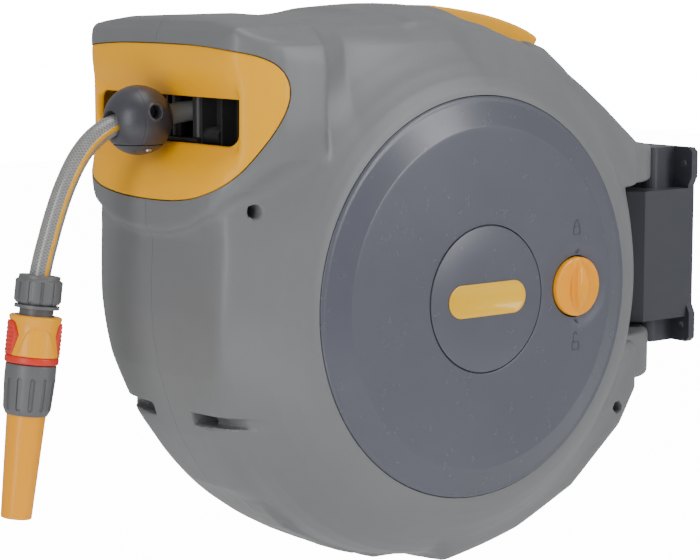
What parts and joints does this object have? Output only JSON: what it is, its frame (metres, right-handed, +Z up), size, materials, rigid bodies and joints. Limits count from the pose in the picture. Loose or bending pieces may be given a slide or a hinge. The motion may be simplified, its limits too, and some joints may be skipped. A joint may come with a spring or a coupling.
{
  "type": "retracting hose reel with spray nozzle",
  "caption": "Wall-mounted garden hose reel with a spring drum in a swivelling casing, a hose outlet with a ball stop, and a twist spray nozzle on the hose end.",
  "frame": {"origin": "centre of the bracket's four screw holes, on the wall face", "axes": "+Y goes into the wall, +Z is up, +X is the lock knob's side; the reel stands out along -Y"},
  "size_m": [0.313, 0.7205, 0.4668],
  "materials": {
    "casing_grey": "moulded plastic with a fine grain",
    "cover_dark": "moulded plastic, satin",
    "bracket_dark": "moulded plastic, satin",
    "trim_yellow": "moulded plastic, soft gloss",
    "nozzle_yellow": "moulded plastic, soft gloss",
    "signal_red": "soft moulded plastic",
    "connector_grey": "moulded plastic, satin",
    "inner_dark": "moulded plastic",
    "plain_white": "plain moulded plastic",
    "seal_rubber": "smooth rubber",
    "hose_grey": "clear-coated hose with a braid under the surface",
    "steel": "plain steel"
  },
  "bodies": {
    "bracket": {"wall_bracket": "bracket_dark", "swivel_pin": "steel", "pin_cap": "bracket_dark"},
    "reel": {"housing_right": "casing_grey", "housing_left": "casing_grey", "outlet_trim": "trim_yellow", "grip_bar": "trim_yellow", "side_cover_right": "cover_dark", "side_cover_left": "cover_dark", "hub_disc_right": "cover_dark", "hub_disc_left": "cover_dark", "badge_plate": "trim_yellow", "swivel_bushes": "inner_dark", "housing_screws": "steel", "axle": "steel", "axle_bearings": "inner_dark", "inlet_elbow": "inner_dark", "inlet_spigot": "inner_dark", "inlet_o_ring": "seal_rubber", "water_seal": "seal_rubber", "spring_arbor": "steel", "guide_rail": "steel", "traverse_bearings": "inner_dark"},
    "drum": {"drum_core": "inner_dark", "drum_flange_right": "inner_dark", "drum_flange_left": "inner_dark", "wound_hose": "hose_grey", "spring_barrel": "inner_dark", "spring_cover": "inner_dark", "mainspring": "steel"},
    "traverse": {"traverse_screw": "steel", "traverse_gear": "inner_dark"},
    "hose_guide": {"guide_carriage": "inner_dark", "inner_hose": "hose_grey", "ball_shell": "inner_dark", "ball_cap": "inner_dark", "ball_screws": "steel", "outer_hose": "hose_grey", "hose_nut": "connector_grey", "hose_collet": "plain_white", "connector_body": "connector_grey", "connector_jaws": "plain_white", "connector_seal": "seal_rubber", "stop_valve": "signal_red", "stop_valve_spring": "steel", "nozzle_sleeve": "connector_grey", "nozzle_stem": "connector_grey", "nozzle_o_rings": "seal_rubber", "collar_spring": "steel"},
    "roller_left": {"guide_roller_left": "inner_dark"},
    "roller_right": {"guide_roller_right": "inner_dark"},
    "release": {"release_collar": "nozzle_yellow", "collar_grips": "signal_red", "collar_ring": "signal_red"},
    "barrel": {"nozzle_barrel": "nozzle_yellow"},
    "lock": {"lock_knob": "trim_yellow", "lock_spindle": "inner_dark", "lock_pawl": "steel"}
  },
  "joints": [
    {"name": "swivel", "type": "hinge", "parent": "bracket", "child": "reel", "pos_m": [0, -0.109, -0.0105], "axis": [0, 0, 1], "range_deg": [-70, 70]},
    {"name": "drum_spin", "type": "hinge", "parent": "reel", "child": "drum", "pos_m": [0, -0.345, -0.0105], "axis": [1, 0, 0], "continuous": true},
    {"name": "traverse_spin", "type": "hinge", "parent": "reel", "child": "traverse", "pos_m": [0, -0.52264, 0.1015], "axis": [1, 0, 0], "continuous": true},
    {"name": "guide_slide", "type": "slide", "parent": "reel", "child": "hose_guide", "axis": [1, 0, 0], "range_m": [-0.03, 0.03]},
    {"name": "roller_left_spin", "type": "hinge", "parent": "hose_guide", "child": "roller_left", "pos_m": [-0.01435, -0.543, 0.1415], "axis": [0, 0, 1], "continuous": true},
    {"name": "roller_right_spin", "type": "hinge", "parent": "hose_guide", "child": "roller_right", "pos_m": [0.01435, -0.543, 0.1415], "axis": [0, 0, 1], "continuous": true},
    {"name": "collar_slide", "type": "slide", "parent": "hose_guide", "child": "release", "axis": [0, 0.134, 0.991], "range_m": [0, 0.005], "stiffness_N_per_m": 700, "springref_m": -0.004, "deforming": ["collar_spring"]},
    {"name": "barrel_twist", "type": "hinge", "parent": "hose_guide", "child": "barrel", "pos_m": [0, -0.6834, 0.0234], "axis": [0, 0.134, 0.991], "range_deg": [0, 270]},
    {"name": "lock_turn", "type": "hinge", "parent": "reel", "child": "lock", "pos_m": [0, -0.244, -0.0085], "axis": [1, 0, 0], "range_deg": [0, 90]}
  ],
  "couplings": [
    {"joint": "traverse_spin", "follows": "drum_spin", "ratio": -7.75}
  ]
}
